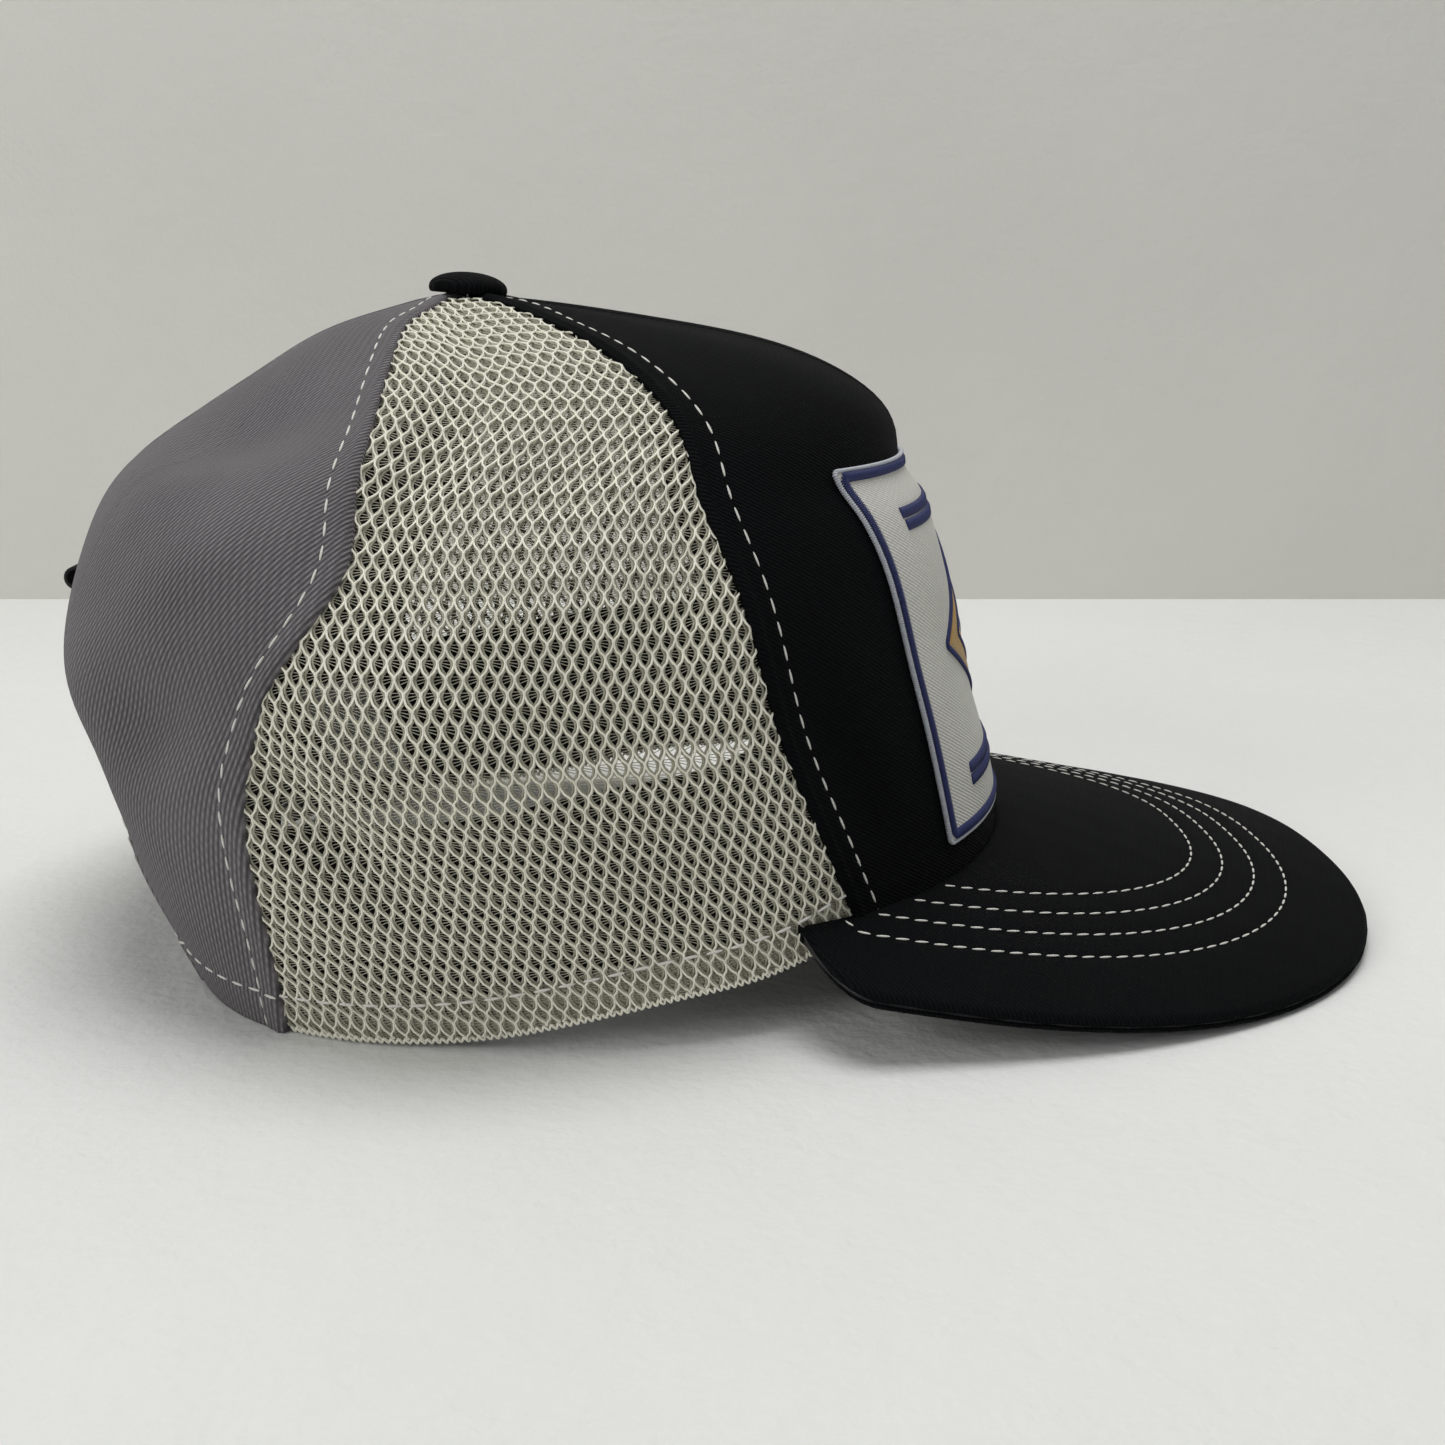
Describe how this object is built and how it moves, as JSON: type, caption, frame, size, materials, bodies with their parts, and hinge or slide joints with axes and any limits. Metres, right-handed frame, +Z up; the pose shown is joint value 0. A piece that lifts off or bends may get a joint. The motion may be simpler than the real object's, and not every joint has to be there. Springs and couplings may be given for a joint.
{
  "type": "trucker mesh cap",
  "caption": "Trucker cap with twill front and rear panels, open mesh sides, stitched curved visor, covered top button, front patch and a plastic snap closure that opens.",
  "frame": {"origin": "middle of the cap's footprint on the surface it stands on, halfway between visor tip and rearmost point", "axes": "+X to the front of the cap, along its length; +Y to the wearer's left; +Z up"},
  "size_m": [0.2758, 0.1754, 0.1342],
  "materials": {
    "black_twill": "matt cotton twill",
    "cream_mesh": "open warp-knit polyester mesh",
    "grey_twill": "matt brushed cotton twill",
    "buckram": "stiff starched cloth",
    "seam_tape": "matt woven tape",
    "sweatband_cloth": "soft cotton band",
    "board_plastic": "matt",
    "patch_cloth": "matt woven twill",
    "border_thread": "satin embroidery thread",
    "emblem_thread": "satin embroidery thread",
    "button_metal": "plain stamped",
    "strap_plastic": "moulded satin",
    "label_cloth": "printed-free satin ribbon"
  },
  "bodies": {
    "cap": {"front_panel_left": "black_twill", "front_panel_right": "black_twill", "mesh_panel_left": "cream_mesh", "mesh_panel_right": "cream_mesh", "rear_panel_left": "grey_twill", "rear_panel_right": "grey_twill", "front_stiffener_left": "buckram", "front_stiffener_right": "buckram", "seam_tape_front_left": "seam_tape", "seam_tape_front_right": "seam_tape", "seam_tape_rear_left": "seam_tape", "seam_tape_rear_right": "seam_tape", "seam_tape_back": "seam_tape", "seam_tape_brow": "seam_tape", "opening_binding": "seam_tape", "sweatband": "sweatband_cloth", "visor_top_cover": "black_twill", "visor_under_cover": "black_twill", "visor_piping": "black_twill", "visor_board": "board_plastic", "patch_cloth": "patch_cloth", "patch_border": "border_thread", "patch_emblem": "emblem_thread", "patch_bar_upper": "border_thread", "patch_bar_lower": "border_thread", "button_cover": "black_twill", "button_shell": "button_metal", "button_prong": "button_metal", "button_washer": "button_metal", "strap_anchor_left": "strap_plastic", "strap_anchor_right": "strap_plastic", "rear_tab": "black_twill", "care_label": "label_cloth"},
    "outer_strap": {"snap_strap_holes": "strap_plastic"},
    "inner_strap": {"snap_strap_pegs": "strap_plastic"}
  },
  "joints": [
    {"name": "outer_strap_flex", "type": "hinge", "parent": "cap", "child": "outer_strap", "pos_m": [-0.11101, -0.03862, 0.01594], "axis": [-0.4067, 0, 0.9135], "range_deg": [0, 60]},
    {"name": "inner_strap_flex", "type": "hinge", "parent": "cap", "child": "inner_strap", "pos_m": [-0.1097, 0.03819, 0.01653], "axis": [-0.4067, 0, 0.9135], "range_deg": [0, 40]}
  ]
}
